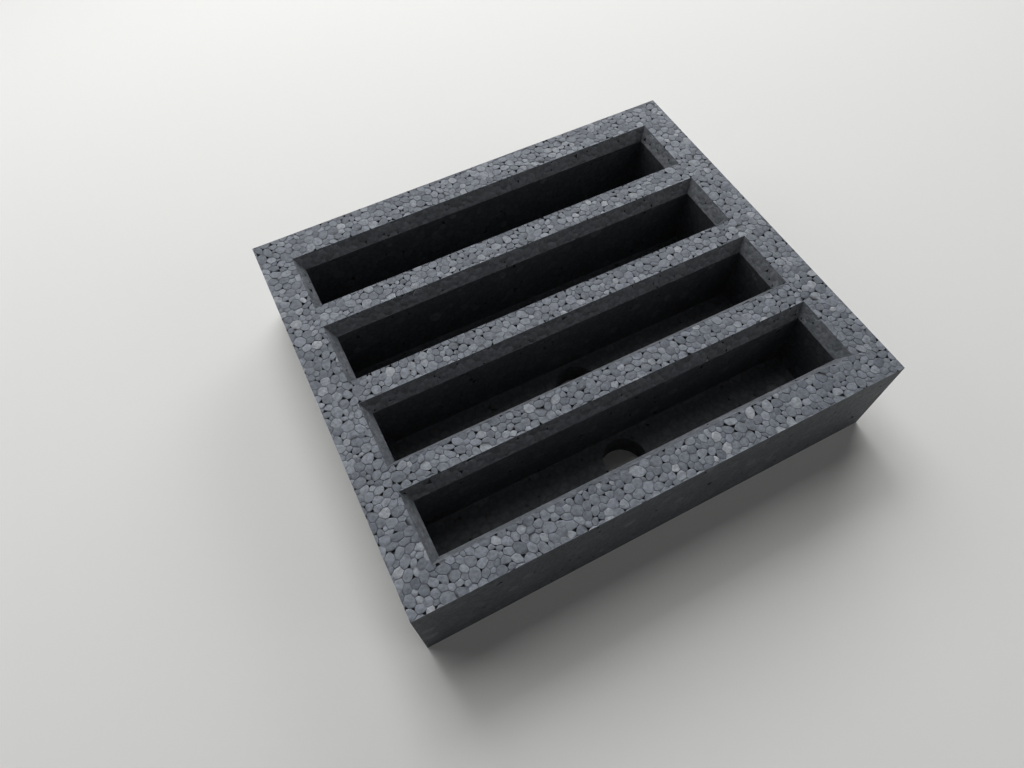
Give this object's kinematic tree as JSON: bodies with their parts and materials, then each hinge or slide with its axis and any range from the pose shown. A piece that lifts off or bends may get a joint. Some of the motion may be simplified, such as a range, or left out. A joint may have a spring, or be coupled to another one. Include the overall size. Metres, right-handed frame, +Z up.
{
  "type": "foam insert",
  "caption": "Rectangular bead-foam insert with parallel long pockets, bevelled mouths and a round push-out hole through each pocket floor.",
  "frame": {"origin": "centre of the underside", "axes": "+X along the pockets, the long side; +Y across the pockets; +Z up, out of the pocket mouths"},
  "size_m": [0.225, 0.193, 0.05],
  "materials": {
    "bead_foam": "matte moulded bead foam, dark grey, with visible bead outlines"
  },
  "bodies": {
    "root": {"foam_insert": "bead_foam"}
  },
  "joints": []
}
